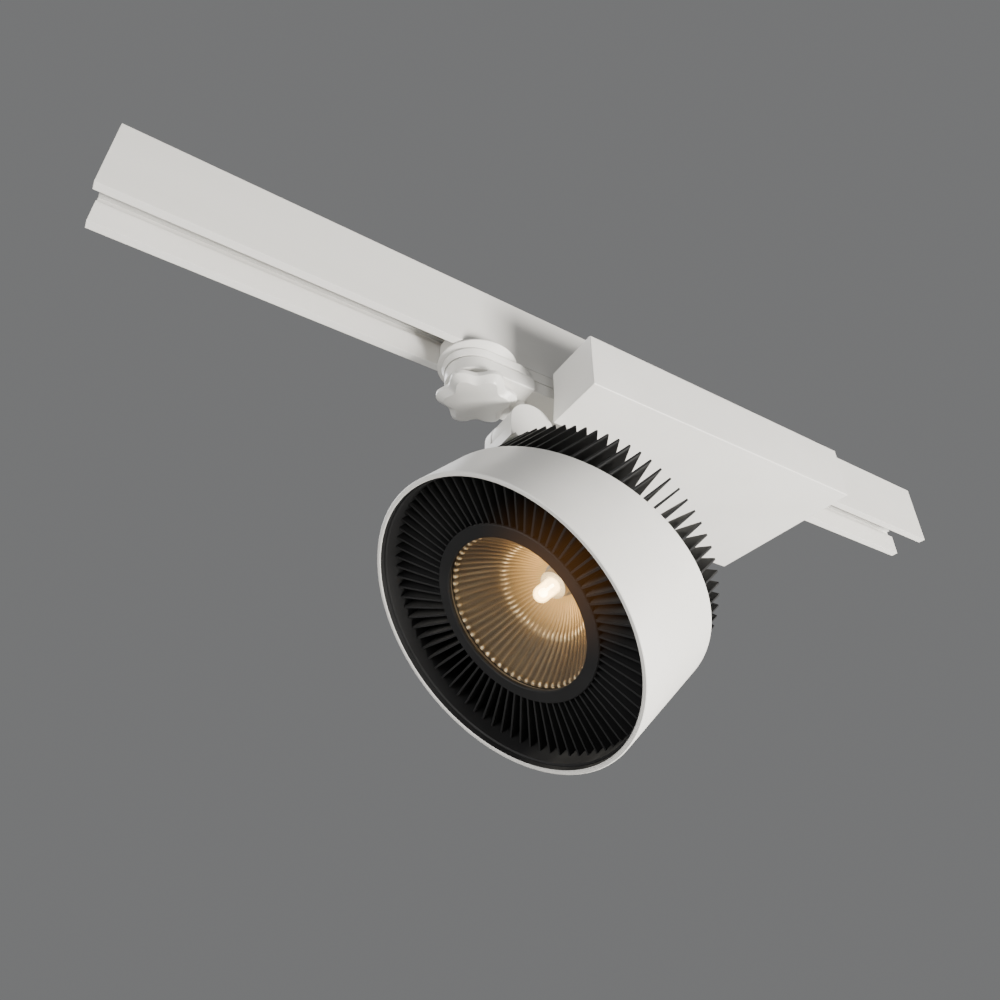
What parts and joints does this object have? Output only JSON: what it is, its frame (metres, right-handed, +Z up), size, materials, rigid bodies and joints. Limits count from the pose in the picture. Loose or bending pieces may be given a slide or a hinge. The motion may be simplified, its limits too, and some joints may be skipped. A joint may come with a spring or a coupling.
{
  "type": "track spotlight",
  "caption": "Track spotlight: ceiling track, sliding gear housing with a locking knob, and a ring-shaped finned lamp head that pans and tilts.",
  "frame": {"origin": "centre of the track's flat top face, which meets the ceiling", "axes": "+X along the track towards the gear housing's far end, +Y across the track, +Z up into the ceiling"},
  "size_m": [0.738, 0.1956, 0.3245],
  "materials": {
    "track_paint": "white powder coat on extruded aluminium, satin",
    "insulator_plastic": "pale grey extruded plastic",
    "copper": "bare copper strip",
    "adapter_plastic": "white moulded plastic, semi-gloss",
    "knob_plastic": "white moulded plastic, semi-gloss",
    "screw_steel": "zinc-plated steel",
    "spring_steel": "plain steel",
    "bush_brass": "bronze and brass, turned",
    "housing_paint": "white, semi-gloss, very light texture",
    "board": "green lacquered board",
    "electronics": "dark moulded plastic",
    "choke_iron": "lacquered iron laminations",
    "can_aluminium": "plain aluminium",
    "ring_paint": "white powder coat on cast aluminium, satin",
    "black_paint": "matt black coat on cast aluminium",
    "front_glass": "clear, polished",
    "lamp_glass": "clear, lit from inside",
    "gasket_rubber": "black silicone rubber",
    "reflector": "champagne, bright anodised, fluted",
    "ceramic": "white ceramic"
  },
  "bodies": {
    "track": {"track_profile": "track_paint", "insulator_near": "insulator_plastic", "insulator_far": "insulator_plastic", "conductor_near_upper": "copper", "conductor_near_lower": "copper", "conductor_far_upper": "copper", "conductor_far_lower": "copper"},
    "carriage": {"adapter_spine": "adapter_plastic", "base_disc": "adapter_plastic", "base_plate": "adapter_plastic", "neck_bar": "adapter_plastic", "adapter_screws": "screw_steel", "neck_screws": "screw_steel", "pan_bush": "adapter_plastic", "pan_stop_pin": "screw_steel", "detent_spring": "spring_steel", "detent_ball": "spring_steel", "housing_tray": "housing_paint", "housing_lid": "housing_paint", "lid_screws": "screw_steel", "control_board": "board", "board_posts": "spring_steel", "board_screws": "screw_steel", "board_parts": "electronics", "choke_block": "choke_iron", "capacitor_can": "can_aluminium", "igniter": "electronics", "terminal_block": "electronics"},
    "knob": {"locking_knob": "knob_plastic", "knob_spindle": "spring_steel", "locking_wing": "spring_steel", "contact_rotor": "electronics", "contact_fingers": "bush_brass", "knob_set_screw": "screw_steel"},
    "swivel": {"pan_stem": "ring_paint", "tilt_bush": "bush_brass", "pan_bolt": "screw_steel", "pan_washer": "screw_steel"},
    "head": {"tilt_yoke": "ring_paint", "tilt_bolt": "screw_steel", "arm_screws": "screw_steel", "ring_shell": "ring_paint", "ring_liner": "black_paint", "heat_sink": "black_paint", "collar": "black_paint", "collar_pins": "screw_steel", "front_glass": "front_glass", "glass_gasket": "gasket_rubber", "reflector": "reflector", "lamp_envelope": "lamp_glass", "lamp_burner": "ceramic", "lamp_base": "ceramic", "lamp_holder": "ceramic", "holder_plate": "spring_steel", "holder_posts": "spring_steel"}
  },
  "joints": [
    {"name": "carriage_slide", "type": "slide", "parent": "track", "child": "carriage", "axis": [1, 0, 0], "range_m": [-0.215, 0.18]},
    {"name": "knob_turn", "type": "hinge", "parent": "carriage", "child": "knob", "pos_m": [-0.1135, 0, -0.087], "axis": [0, 0, 1], "range_deg": [0, 90]},
    {"name": "pan_turn", "type": "hinge", "parent": "carriage", "child": "swivel", "pos_m": [-0.079, 0, -0.09], "axis": [0, 0, 1], "range_deg": [-160, 160]},
    {"name": "head_tilt", "type": "hinge", "parent": "swivel", "child": "head", "pos_m": [-0.079, 0, -0.1075], "axis": [0, 1, 0], "range_deg": [-45, 42]}
  ]
}
